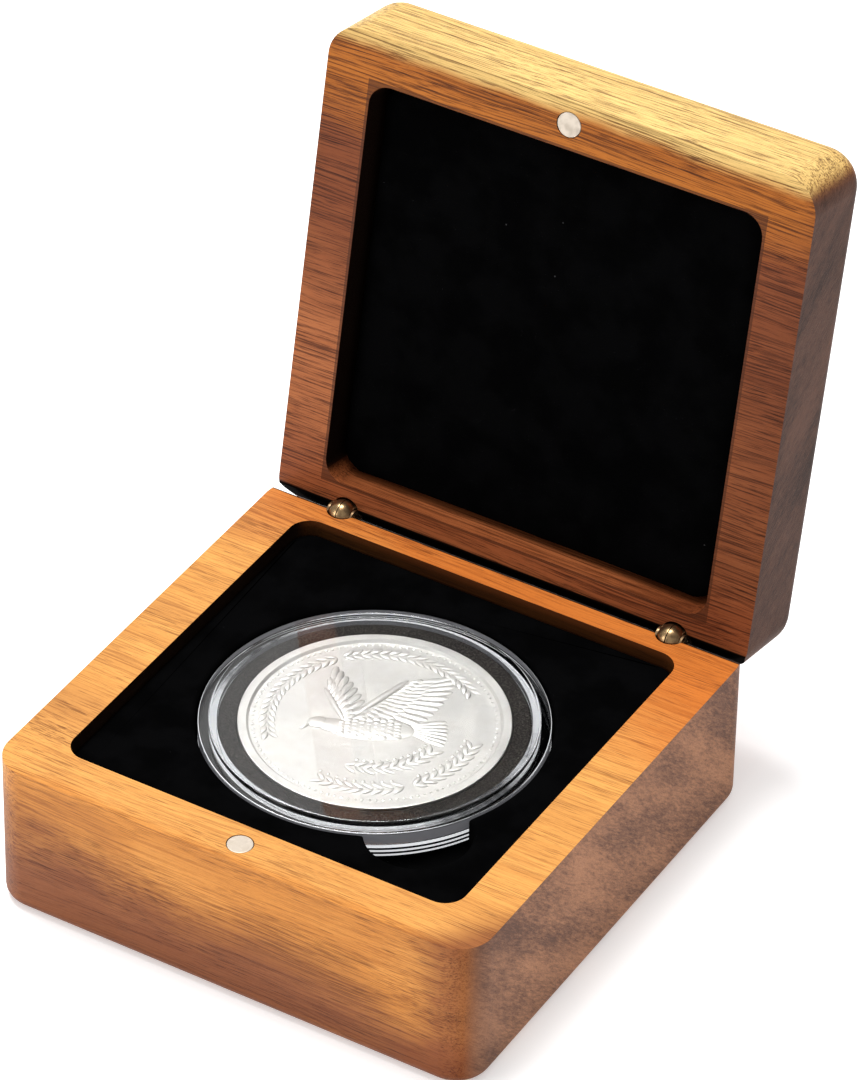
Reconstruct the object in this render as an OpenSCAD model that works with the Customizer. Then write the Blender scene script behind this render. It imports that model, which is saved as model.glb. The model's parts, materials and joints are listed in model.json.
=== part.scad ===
// Hinged wooden presentation box that holds one coin in a clear round capsule.
// Frame: origin at the centre of the underside, +X along the front edge, +Y towards the hinges,
// +Z up. Lengths in millimetres. The lid is drawn shut and turned back on its pins to the stop.

/* [Box] */
// Width of the box, along its front edge
box_w = 82; // [80:0.5:90]
// Depth of the box, from its front to its hinge side
box_d = 82; // [80:0.5:90]
// Height of the base
base_h = 26; // [25:0.5:32]
// Height of the lid
lid_h = 16; // [15:0.5:20]
// Radius of the four upright corners
corner_r = 5.5; // [4.5:0.5:7]
// Rounding of the edges under the base
foot_round = 2; // [1:0.5:3]
// Rounding of the edges on top of the lid
crown_round = 3.5; // [2:0.5:4]
// Width of the wooden rim round the pocket
rim_w = 7.75; // [7.75:0.25:9]
// Corner radius of the pocket in the base and of the recess in the lid
pocket_r = 3.5; // [3:0.5:5]
// Thickness of wood under the base's pocket
base_floor = 5; // [4:0.5:6]
// Thickness of wood over the lid's recess
lid_roof = 4.5; // [4:0.5:5]
// Leg of the 45 degree bevel along both rear rims, which is the lid's stop
rear_bevel = 4; // [3.5:0.1:4]
// Gap between the two rims when the box is shut
shut_gap = 0.1; // [0.05:0.05:0.3]

/* [Hinge] */
// Angle of the lid at its open stop
open_angle = 101; // [90:1:101]
// Distance between the two barrel hinges
hinge_span = 57.6; // [50:0.2:60]
// Diameter of a hinge barrel
barrel_d = 4.8; // [4.6:0.1:5]
// Length of a hinge barrel
barrel_len = 10; // [9:0.5:11]
// Diameter of the pins in the hinge
pin_d = 1; // [0.8:0.1:1.2]
// Distance of the pivot pin under the base's rim
pivot_drop = 0.8; // [0.7:0.05:0.9]
// Distance of the pivot pin in front of the base's back face
pivot_inset = 3.3; // [3.2:0.05:3.4]
// Diameter of the rounded knuckle that the two links make together
knuckle_d = 4.5; // [4.2:0.1:4.5]
// Thickness of one link
link_t = 1.73; // [1.5:0.01:1.75]
// Slit between the two links
link_slit = 0.14; // [0.1:0.02:0.2]

/* [Magnets] */
// Diameter of a magnet disc
magnet_d = 4; // [3:0.5:5]
// Thickness of a magnet disc
magnet_t = 3; // [2:0.5:4]
// Distance of a magnet's centre from the front face
magnet_inset = 3.85; // [3.5:0.05:4.2]

/* [Capsule] */
// Diameter of the coin
coin_d = 40.6; // [38:0.1:40.6]
// Thickness of the coin at its rim
coin_t = 2.98; // [2:0.02:3]
// Width of the coin's raised rim
coin_rim = 1.3; // [1:0.1:1.5]
// Depth of the coin's field under its rim
coin_sink = 0.3; // [0.2:0.05:0.4]
// Diameter of the capsule
capsule_d = 52.2; // [51:0.1:53]
// Thickness of the capsule
capsule_t = 6; // [6:0.1:6.4]
// Thickness of the capsule's two clear faces
capsule_wall = 1.4; // [1.2:0.1:1.5]
// Height of the raised disc on each face of the capsule
capsule_step = 0.8; // [0.5:0.1:1]
// Width of the ledge round each raised disc
capsule_ledge = 1.55; // [1.4:0.05:1.7]
// Thickness of the plug ring inside the upper shell
plug_t = 1.2; // [1:0.1:1.4]
// Depth that the plug ring reaches into the lower shell
plug_depth = 1.55; // [1.2:0.05:1.6]
// Depth of the capsule's underside under the velvet round the well
capsule_depth = 5.5; // [5:0.1:5.5]

/* [Velvet] */
// Depth of the base's velvet under the rim
base_velvet_drop = 2.4; // [2:0.1:3]
// Depth of the lid's velvet under its rim
lid_velvet_drop = 2.8; // [2.6:0.1:3.5]
// Thickness of the velvet with its backing
velvet_t = 0.6; // [0.4:0.1:0.8]
// Radius of the round finger notch
notch_r = 8; // [6:0.5:9]
// Direction of the finger notch from the well's centre
notch_angle = -45; // [-60:5:-30]

/* [Hidden] */
$fn = 64;
far = 60;

// Base and lid
pocket_w = box_w - 2 * rim_w;
pocket_d = box_d - 2 * rim_w;
lid_z = base_h + shut_gap;
lid_top = lid_z + lid_h;
bevel_y = box_d / 2 - rear_bevel;

// Pivot, and heights measured from it
pivot_y = box_d / 2 - pivot_inset;
pivot_z = base_h - pivot_drop;
barrel_r = barrel_d / 2;
hole_r = barrel_r + 0.02;
knuckle_r = knuckle_d / 2;
slot_play = 0.06;
slot_half = link_slit / 2 + link_t + slot_play;
turning_gap = 0.1;
ear_r = 1.3;
ear_half = barrel_r - 0.2;
pin_half = barrel_r - 0.1;
anchor_rise = 4.6;
shank_rise = 5.9;
shank_half = 1.5;
flush = 0.03;
upper_end = pivot_drop + shut_gap + barrel_len;
lower_end = barrel_len + 0.2;

// Capsule, from its underside up
well_gap = 0.4;
well_r = capsule_d / 2 + well_gap;
velvet_z = base_h - base_velvet_drop;
capsule_z = velvet_z - capsule_depth;
coin_z = capsule_z + capsule_wall;
parting = capsule_t / 2 + 0.2;
running = 0.05;
disc_r = capsule_d / 2 - capsule_ledge;
seat_gap = 0.08;
chamfer = 0.22;
coin_edge = 0.15;
groove = 0.16;
groove_z = [0.75, 1.5];

// Stack of pads in the pockets
board_t = 1.2;
insert_gap = 0.1;
lower_foam_top = capsule_z - velvet_t;
lid_velvet_z = lid_z + lid_velvet_drop;
lid_board_z = lid_top - lid_roof - board_t;

// Turns what is drawn in the shut position back to the lid's open stop.
module open_lid() {
    translate([0, pivot_y, pivot_z])
        rotate([-open_angle, 0, 0])
            translate([0, -pivot_y, -pivot_z])
                children();
}

// Puts a hinge piece, drawn about the middle of its pivot pin, at the left (-1) or right (1).
module at_pivot(side) {
    translate([side * hinge_span / 2, pivot_y, pivot_z])
        children();
}

// Bar with square ends along X, centred on the axis.
module rod_x(r, half) {
    rotate([0, 90, 0])
        cylinder(r = r, h = 2 * half, center = true);
}

// Cross-section of a block from its middle to one side, with its upper corner rounded.
module side_profile(half, h, edge) {
    square([half, h - edge]);
    square([half - edge, h]);
    translate([half - edge, h - edge])
        intersection() {
            circle(r = edge);
            square(edge);
        }
}

// Block with upright corners of radius corner_r and its top edges rounded all round.
module crowned_block(w, d, h, edge) {
    span_x = w / 2 - corner_r;
    span_y = d / 2 - corner_r;
    for (x = [-span_x, span_x], y = [-span_y, span_y])
        translate([x, y, 0])
            rotate_extrude()
                side_profile(corner_r, h, edge);
    for (side = [0, 180])
        rotate([0, 0, side]) {
            rotate([90, 0, 0])
                linear_extrude(2 * span_y, center = true)
                    side_profile(w / 2, h, edge);
            rotate([90, 0, 90])
                linear_extrude(2 * span_x, center = true)
                    side_profile(d / 2, h, edge);
        }
}

// Upright prism with four rounded corners, centred in X and Y.
module rounded_prism(w, d, h, r) {
    translate([-w / 2 + r, -d / 2, 0])
        cube([w - 2 * r, d, h]);
    translate([-w / 2, -d / 2 + r, 0])
        cube([w, d - 2 * r, h]);
    for (x = [-1, 1], y = [-1, 1])
        translate([x * (w / 2 - r), y * (d / 2 - r), 0])
            cylinder(r = r, h = h);
}

// Space behind a 45 degree plane through the bevel's rim edge; up = 1 for the base, -1 for the lid.
module bevel_space(rim_z, up, away = 0) {
    translate([0, bevel_y + away * sqrt(2), rim_z])
        rotate([-45 * up, 0, 0])
            translate([-far, -far, up > 0 ? 0 : -far])
                cube([2 * far, 2 * far, far]);
}

// Two round holes for the barrels, from z_low up to z_high.
module barrel_holes(z_low, z_high) {
    for (side = [-1, 1])
        translate([side * hinge_span / 2, pivot_y, z_low])
            cylinder(r = hole_r, h = z_high - z_low);
}

module base_block() {
    color("#c98238")
        difference() {
            translate([0, 0, base_h])
                mirror([0, 0, 1])
                    crowned_block(box_w, box_d, base_h, foot_round);
            translate([0, 0, base_floor])
                rounded_prism(pocket_w, pocket_d, base_h, pocket_r);
            bevel_space(base_h, 1);
            barrel_holes(pivot_z - lower_end, base_h + 1);
            translate([0, -box_d / 2 + magnet_inset, base_h - magnet_t - 2 * flush])
                cylinder(d = magnet_d + 2 * flush, h = far);
        }
}

module base_magnet() {
    color("#c9c6bf")
        translate([0, -box_d / 2 + magnet_inset, base_h - magnet_t - flush])
            cylinder(d = magnet_d, h = magnet_t);
}

// Flat sheet or slab that fills a pocket, from z_low up to z_high.
module pocket_slab(z_low, z_high, gap = insert_gap) {
    translate([0, 0, z_low])
        rounded_prism(pocket_w - 2 * gap, pocket_d - 2 * gap, z_high - z_low, pocket_r - gap);
}

// Round well for the capsule with the finger notch at its side.
module well(z_low, z_high, lining) {
    translate([0, 0, z_low])
        cylinder(r = well_r + lining, h = z_high - z_low, $fn = 96);
    rotate([0, 0, notch_angle])
        translate([well_r, 0, z_low])
            cylinder(r = notch_r + lining, h = z_high - z_low);
}

module base_board() {
    color("#9a9184")
        pocket_slab(base_floor, base_floor + board_t);
}

module base_lower_foam() {
    color("#3a3a3d")
        pocket_slab(base_floor + board_t, lower_foam_top);
}

module base_upper_foam() {
    color("#2f2f32")
        difference() {
            pocket_slab(lower_foam_top, velvet_z - velvet_t);
            well(lower_foam_top - 1, velvet_z + 1, velvet_t);
        }
}

module base_velvet() {
    color("#0b0b0d")
        difference() {
            union() {
                pocket_slab(velvet_z - velvet_t, velvet_z);
                well(lower_foam_top, velvet_z - velvet_t / 2, velvet_t);
            }
            well(capsule_z, velvet_z + 1, 0);
        }
}

module lid_block() {
    color("#9a5a2c")
        open_lid()
            difference() {
                translate([0, 0, lid_z])
                    crowned_block(box_w, box_d, lid_h, crown_round);
                translate([0, 0, lid_z - 1])
                    rounded_prism(pocket_w, pocket_d, lid_h - lid_roof + 1, pocket_r);
                bevel_space(lid_z, -1);
                barrel_holes(lid_z - 1, pivot_z + upper_end);
                translate([0, -box_d / 2 + magnet_inset, lid_z - 1])
                    cylinder(d = magnet_d + 2 * flush, h = magnet_t + 2 * flush + 1);
            }
}

module lid_magnet() {
    color("#c9c6bf")
        open_lid()
            translate([0, -box_d / 2 + magnet_inset, lid_z + flush])
                cylinder(d = magnet_d, h = magnet_t);
}

module lid_board() {
    color("#9a9184")
        open_lid()
            pocket_slab(lid_board_z, lid_board_z + board_t);
}

module lid_foam() {
    color("#3a3a3d")
        open_lid()
            pocket_slab(lid_velvet_z + velvet_t, lid_board_z, insert_gap + velvet_t);
}

module lid_velvet() {
    color("#0b0b0d")
        open_lid()
            difference() {
                pocket_slab(lid_velvet_z, lid_board_z);
                pocket_slab(lid_velvet_z + velvet_t, lid_board_z + 1, insert_gap + velvet_t);
            }
}

// Round shell or ring with the given half outline of (radius, height) points.
module turned(outline) {
    translate([0, 0, capsule_z])
        rotate_extrude($fn = 128)
            polygon(outline);
}

module capsule_lower_shell() {
    r = capsule_d / 2;
    ledge_z = capsule_step;
    grooves = [for (z = groove_z, p = [[r, -groove], [r - groove, 0], [r, groove]])
        [p[0], ledge_z + z + p[1]]];
    color("#dfe6ea", 0.35)
        turned(concat(
            [[0, 0], [disc_r - chamfer, 0], [disc_r, chamfer], [disc_r, ledge_z],
             [r - chamfer, ledge_z], [r, ledge_z + chamfer]],
            grooves,
            [[r, parting - running], [disc_r + running, parting - running],
             [disc_r + running, capsule_wall], [0, capsule_wall]]));
}

module capsule_upper_shell() {
    r = capsule_d / 2;
    ledge_z = capsule_t - capsule_step;
    color("#e6edf1", 0.35)
        turned([
            [0, capsule_t], [disc_r - chamfer, capsule_t], [disc_r, capsule_t - chamfer],
            [disc_r, ledge_z], [r - chamfer, ledge_z], [r, ledge_z - chamfer],
            [r, parting], [disc_r - running, parting], [disc_r - running, parting - plug_depth],
            [disc_r - running - plug_t, parting - plug_depth],
            [disc_r - running - plug_t, capsule_t - capsule_wall], [0, capsule_t - capsule_wall]]);
}

module gasket_ring() {
    inner = coin_d / 2 + running;
    outer = disc_r - 2 * running - plug_t - seat_gap;
    top = capsule_wall + coin_t - coin_sink;
    color("#3d3936")
        turned([[inner, capsule_wall], [outer, capsule_wall], [outer, top], [inner, top]]);
}

// The coin's raised rim stands over its sunk field on both faces.
module coin() {
    r = coin_d / 2;
    field_r = r - coin_rim;
    color("#d9d8d2")
        translate([0, 0, capsule_wall])
            turned([
                [0, coin_sink], [field_r - coin_sink, coin_sink], [field_r, 0], [r - coin_edge, 0],
                [r, coin_edge], [r, coin_t - coin_edge], [r - coin_edge, coin_t], [field_r, coin_t],
                [field_r - coin_sink, coin_t - coin_sink], [0, coin_t - coin_sink]]);
}

// Barrel in the base: flush with rim and bevel, with two ears that hold the pivot pin.
module lower_barrel(side) {
    color("#8d6a3c")
        difference() {
            at_pivot(side)
                translate([0, 0, -lower_end])
                    cylinder(r = barrel_r, h = lower_end + ear_r);
            difference() {
                union() {
                    bevel_space(base_h, 1, -flush);
                    translate([-far, -far, base_h - flush])
                        cube([2 * far, 2 * far, far]);
                }
                at_pivot(side)
                    rod_x(ear_r, ear_half);
            }
            at_pivot(side) {
                translate([-slot_half, -far / 2, -knuckle_r - turning_gap])
                    cube([2 * slot_half, far, far]);
                rod_x(pin_d / 2, far);
            }
        }
}

// Barrel in the lid: its slot takes the shanks of both links and the anchor pin.
module upper_barrel(side) {
    color("#8d6a3c")
        open_lid()
            difference() {
                at_pivot(side)
                    translate([0, 0, pivot_drop + shut_gap + flush])
                        cylinder(r = barrel_r, h = barrel_len - flush);
                bevel_space(lid_z, -1, -flush);
                at_pivot(side) {
                    rod_x(ear_r + turning_gap, far);
                    translate([-slot_half, -far / 2, -far + shank_rise + turning_gap])
                        cube([2 * slot_half, far, far]);
                    translate([0, 0, anchor_rise])
                        rod_x(pin_d / 2, far);
                }
            }
}

// One of the two links: half of the round knuckle on a shank that enters the upper barrel.
module link(side, half) {
    inner = link_slit / 2;
    color("#a07a45")
        open_lid()
            at_pivot(side)
                difference() {
                    intersection() {
                        union() {
                            sphere(r = knuckle_r);
                            translate([-far, -shank_half, 0])
                                cube([2 * far, 2 * shank_half, shank_rise]);
                        }
                        translate([half > 0 ? inner : -inner - link_t, -far, -far])
                            cube([link_t, 2 * far, 2 * far]);
                    }
                    rod_x(pin_d / 2 + running, far);
                    translate([0, 0, anchor_rise])
                        rod_x(pin_d / 2, far);
                }
}

module pivot_pin(side) {
    color("#6f5230")
        at_pivot(side)
            rod_x(pin_d / 2, pin_half);
}

module anchor_pin(side) {
    color("#6f5230")
        open_lid()
            at_pivot(side)
                translate([0, 0, anchor_rise])
                    rod_x(pin_d / 2, pin_half);
}

base_block();
base_magnet();
base_board();
base_lower_foam();
base_upper_foam();
base_velvet();
lid_block();
lid_magnet();
lid_board();
lid_foam();
lid_velvet();
capsule_lower_shell();
capsule_upper_shell();
gasket_ring();
coin();
lower_barrel(-1);  // left_lower_barrel
upper_barrel(-1);  // left_upper_barrel
link(-1, 1);  // left_inner_link
link(-1, -1);  // left_outer_link
pivot_pin(-1);  // left_pivot_pin
anchor_pin(-1);  // left_anchor_pin
lower_barrel(1);  // right_lower_barrel
upper_barrel(1);  // right_upper_barrel
link(1, -1);  // right_inner_link
link(1, 1);  // right_outer_link
pivot_pin(1);  // right_pivot_pin
anchor_pin(1);  // right_anchor_pin
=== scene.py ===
"""Looks of a hinged wooden presentation box with a velvet well and a capsuled coin.

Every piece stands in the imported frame: +X along the front edge, +Y towards the hinges, +Z up, in metres.
"""
import json
import logging
import math
from collections.abc import Callable, Iterator, Sequence
from contextlib import contextmanager
from dataclasses import dataclass, field
from enum import Enum

import bmesh
import bpy
from mathutils import Matrix, Vector


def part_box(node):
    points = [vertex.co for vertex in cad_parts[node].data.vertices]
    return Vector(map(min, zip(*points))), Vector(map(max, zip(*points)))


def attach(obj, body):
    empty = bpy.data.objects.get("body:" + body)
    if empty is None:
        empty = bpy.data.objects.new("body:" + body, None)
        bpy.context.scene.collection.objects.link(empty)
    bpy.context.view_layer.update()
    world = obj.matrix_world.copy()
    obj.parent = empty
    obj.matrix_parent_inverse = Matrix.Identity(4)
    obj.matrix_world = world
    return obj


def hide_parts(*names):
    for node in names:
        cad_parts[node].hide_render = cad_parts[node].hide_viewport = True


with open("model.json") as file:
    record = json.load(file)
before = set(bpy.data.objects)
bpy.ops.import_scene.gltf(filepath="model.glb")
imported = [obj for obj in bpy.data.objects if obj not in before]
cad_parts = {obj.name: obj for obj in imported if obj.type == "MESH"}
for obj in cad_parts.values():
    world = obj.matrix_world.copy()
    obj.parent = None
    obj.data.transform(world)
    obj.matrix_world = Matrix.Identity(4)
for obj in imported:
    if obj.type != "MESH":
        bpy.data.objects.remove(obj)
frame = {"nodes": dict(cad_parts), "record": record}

MM = 0.001
NEAR = 0.1 * MM          # closer than this to a plane counts as on it
SHUT_GAP = 0.1 * MM      # between the rims with the box shut
TURN = 2 * math.pi
log = logging.getLogger("presentation_box")

Colour = tuple[float, float, float]
Pair = tuple[float, float]
Piece = bpy.types.Object
Socket = bpy.types.NodeSocket


class Body(str, Enum):
    """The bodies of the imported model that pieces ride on."""

    BASE = "base"
    LID = "lid"
    CAPSULE = "capsule"
    COVER = "capsule_cover"


# ---------------------------------------------------------------- bench work


def corners(node: str) -> tuple[Vector, Vector]:
    """Lowest and highest corner of a CAD node."""
    low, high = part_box(node)
    return Vector(low), Vector(high)


def clear_selection() -> None:
    """Leaves edit mode and deselects every object."""
    if bpy.context.object is not None and bpy.context.object.mode != "OBJECT":
        bpy.ops.object.mode_set(mode="OBJECT")
    bpy.ops.object.select_all(action="DESELECT")


def take(piece: Piece) -> Piece:
    """Makes a piece the only selected one and the active one.

    Args:
        piece: The object to work on.

    Returns:
        The same object.
    """
    clear_selection()
    piece.select_set(True)
    bpy.context.view_layer.objects.active = piece
    return piece


@contextmanager
def editing(piece: Piece) -> Iterator[bmesh.types.BMesh]:
    """Opens a piece in edit mode and closes it again.

    Args:
        piece: The object to edit.

    Yields:
        Its edit mesh, for selecting in code.
    """
    take(piece)
    bpy.ops.object.mode_set(mode="EDIT")
    yield bmesh.from_edit_mesh(piece.data)
    bpy.ops.object.mode_set(mode="OBJECT")


def round_where(piece: Piece, test: Callable[[Vector, Vector], bool], radius: float,
                segments: int) -> None:
    """Rounds the edges whose two ends pass a test.

    Args:
        piece: The piece.
        test: Says whether an edge between two points is wanted.
        radius: Radius of the rounding.
        segments: Facets across it.
    """
    with editing(piece):
        bpy.ops.mesh.select_mode(type="EDGE")
        mesh = bmesh.from_edit_mesh(piece.data)
        for edge in mesh.edges:
            edge.select_set(False)
        for edge in mesh.edges:
            if test(edge.verts[0].co, edge.verts[1].co):
                edge.select_set(True)
        bmesh.update_edit_mesh(piece.data)
        bpy.ops.mesh.bevel(offset=radius, segments=segments, affect="EDGES", profile=0.5)


def block(name: str, low: Sequence[float], high: Sequence[float]) -> Piece:
    """A box between two corners, at the origin with its place in its mesh.

    Args:
        name: The piece's name.
        low: Lowest corner in metres.
        high: Highest corner in metres.

    Returns:
        The new object.
    """
    clear_selection()
    low_v = Vector(low)
    high_v = Vector(high)
    bpy.ops.mesh.primitive_cube_add(size=1, location=(low_v + high_v) / 2)
    piece = bpy.context.object
    piece.name = piece.data.name = name
    piece.scale = high_v - low_v
    bpy.ops.object.transform_apply(location=True, rotation=True, scale=True)
    return piece


def post(name: str, radius: float, low: float, high: float, at: Sequence[float] = (0, 0),
         sides: int = 48) -> Piece:
    """An upright round bar.

    Args:
        name: The piece's name.
        radius: Its radius.
        low: Height of its lower end.
        high: Height of its upper end.
        at: Place of its axis in X and Y.
        sides: Number of sides.

    Returns:
        The new object.
    """
    clear_selection()
    bpy.ops.mesh.primitive_cylinder_add(vertices=sides, radius=radius, depth=high - low,
                                        location=(at[0], at[1], (low + high) / 2))
    piece = bpy.context.object
    piece.name = piece.data.name = name
    bpy.ops.object.transform_apply(location=True, rotation=True, scale=True)
    return piece


def round_uprights(piece: Piece, radius: float, segments: int) -> None:
    """Rounds the four upright edges of a block.

    Args:
        piece: The block.
        radius: Corner radius.
        segments: Facets round each corner.
    """
    round_where(piece, lambda a, b: abs(a.z - b.z) > MM and (a.xy - b.xy).length < NEAR, radius, segments)


def apply_modifiers(piece: Piece) -> None:
    """Applies every modifier on a piece, first to last."""
    take(piece)
    for modifier in list(piece.modifiers):
        bpy.ops.object.modifier_apply(modifier=modifier.name)


def cut(piece: Piece, tool: Piece) -> None:
    """Cuts a tool's shape out of a piece and throws the tool away."""
    modifier = piece.modifiers.new("cut", "BOOLEAN")
    modifier.operation = "DIFFERENCE"
    modifier.solver = "EXACT"
    modifier.object = tool
    apply_modifiers(piece)
    bpy.data.objects.remove(tool, do_unlink=True)


def slice_off(piece: Piece, point: Sequence[float], normal: Sequence[float]) -> None:
    """Planes away what lies beyond a plane and closes the cut.

    Args:
        piece: The piece to plane.
        point: A point on the plane.
        normal: The side that goes.
    """
    with editing(piece):
        bpy.ops.mesh.select_all(action="SELECT")
        bpy.ops.mesh.bisect(plane_co=point, plane_no=normal, use_fill=True, clear_outer=True)


def ease_edges(piece: Piece, width: float, segments: int = 3, angle: float = 35) -> None:
    """Rounds every sharp edge by a little.

    Args:
        piece: The piece.
        width: Width of the rounding.
        segments: Facets across it.
        angle: Edges sharper than this many degrees are rounded.
    """
    modifier = piece.modifiers.new("ease", "BEVEL")
    modifier.width = width
    modifier.segments = segments
    modifier.limit_method = "ANGLE"
    modifier.angle_limit = math.radians(angle)
    modifier.miter_outer = "MITER_ARC"
    apply_modifiers(piece)


def smooth(piece: Piece, angle: float = 38, weighted: bool = False) -> Piece:
    """Shades a piece smooth, except across edges sharper than an angle in degrees.

    Args:
        piece: The piece.
        angle: The angle.
        weighted: Keeps large flat faces flat beside rounded edges.

    Returns:
        The same piece.
    """
    take(piece)
    bpy.ops.object.shade_smooth_by_angle(angle=math.radians(angle))
    if weighted:
        modifier = piece.modifiers.new("even", "WEIGHTED_NORMAL")
        modifier.keep_sharp = True
        modifier.weight = 100
        apply_modifiers(piece)
    return piece


def tidy(piece: Piece, gap: float = 1e-6) -> None:
    """Merges points that coincide and turns every face outwards."""
    with editing(piece):
        bpy.ops.mesh.select_all(action="SELECT")
        bpy.ops.mesh.remove_doubles(threshold=gap)
        bpy.ops.mesh.normals_make_consistent(inside=False)


def join(pieces: Sequence[Piece], name: str) -> Piece:
    """Joins pieces into one object.

    Args:
        pieces: The objects to join.
        name: The name of the result.

    Returns:
        The joined object.
    """
    clear_selection()
    for piece in pieces:
        piece.select_set(True)
    bpy.context.view_layer.objects.active = pieces[0]
    bpy.ops.object.join()
    whole = bpy.context.object
    whole.name = whole.data.name = name
    return whole


def turned(name: str, outline: Sequence[Pair], steps: int) -> Piece:
    """A round piece, spun about the Z axis from half its outline.

    Args:
        name: The piece's name.
        outline: (radius, height) points in metres; both ends on the axis, or a closed ring.
        steps: Number of steps round.

    Returns:
        The new object.
    """
    clear_selection()
    bpy.ops.mesh.primitive_plane_add(size=MM)
    piece = bpy.context.object
    piece.name = piece.data.name = name
    outline = with_holding_points(outline)
    with editing(piece):
        bpy.ops.mesh.select_mode(type="VERT")
        bpy.ops.mesh.select_all(action="SELECT")
        bpy.ops.mesh.merge(type="CENTER")
        bpy.ops.transform.translate(value=(outline[0][0], 0, outline[0][1]))
        for (r0, z0), (r1, z1) in zip(outline, outline[1:]):
            bpy.ops.mesh.extrude_region_move(TRANSFORM_OT_translate={"value": (r1 - r0, 0, z1 - z0)})
        bpy.ops.mesh.select_all(action="SELECT")
        bpy.ops.mesh.spin(steps=steps, angle=TURN, center=(0, 0, 0), axis=(0, 0, 1))
    tidy(piece, 1e-7 * len(outline))
    return piece


def with_holding_points(outline: Sequence[Pair],
                        hold: float = 0.03 * MM) -> list[Pair]:
    """Adds a point close to each end of every long straight stretch, so flat faces shade flat.

    Args:
        outline: (radius, height) points.
        hold: Distance of an added point from the end.

    Returns:
        The outline with its added points.
    """
    held = [outline[0]]
    for (r0, z0), (r1, z1) in zip(outline, outline[1:]):
        length = math.hypot(r1 - r0, z1 - z0)
        if length > 12 * hold:
            for t in (hold / length, 1 - hold / length):
                held.append((r0 + (r1 - r0) * t, z0 + (z1 - z0) * t))
        held.append((r1, z1))
    return held


def arc(centre: Pair, radius: float, start: float, end: float,
        count: int) -> list[Pair]:
    """Points on an arc in an outline, from start to end degrees.

    Args:
        centre: (radius, height) of the arc's centre.
        radius: Radius of the arc.
        start: First angle in degrees, 0 outwards and 90 up.
        end: Last angle in degrees.
        count: Number of points.

    Returns:
        The points.
    """
    angles = [math.radians(start + (end - start) * i / (count - 1)) for i in range(count)]
    return [(centre[0] + radius * math.cos(a), centre[1] + radius * math.sin(a)) for a in angles]


def on_circle(radius: float, angle: float) -> Pair:
    """The point of a circle round the origin at an angle in degrees."""
    return radius * math.cos(math.radians(angle)), radius * math.sin(math.radians(angle))


def put_on(piece: Piece, body: Body, finish: "Finish",
           replaced: Sequence[str] = ()) -> Piece:
    """Dresses a finished piece and makes it ride on a body.

    Args:
        piece: The finished piece.
        body: The body that carries it.
        finish: What it is finished with.
        replaced: CAD nodes that it stands for.

    Returns:
        The same piece.
    """
    piece.data.materials.clear()
    piece.data.materials.append(finish.material())
    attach(piece, body.value)
    if replaced:
        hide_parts(*replaced)
    log.info("%s rides on %s with %d faces", piece.name, body.value, len(piece.data.polygons))
    return piece


# ------------------------------------------------------------------- finishes


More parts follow.
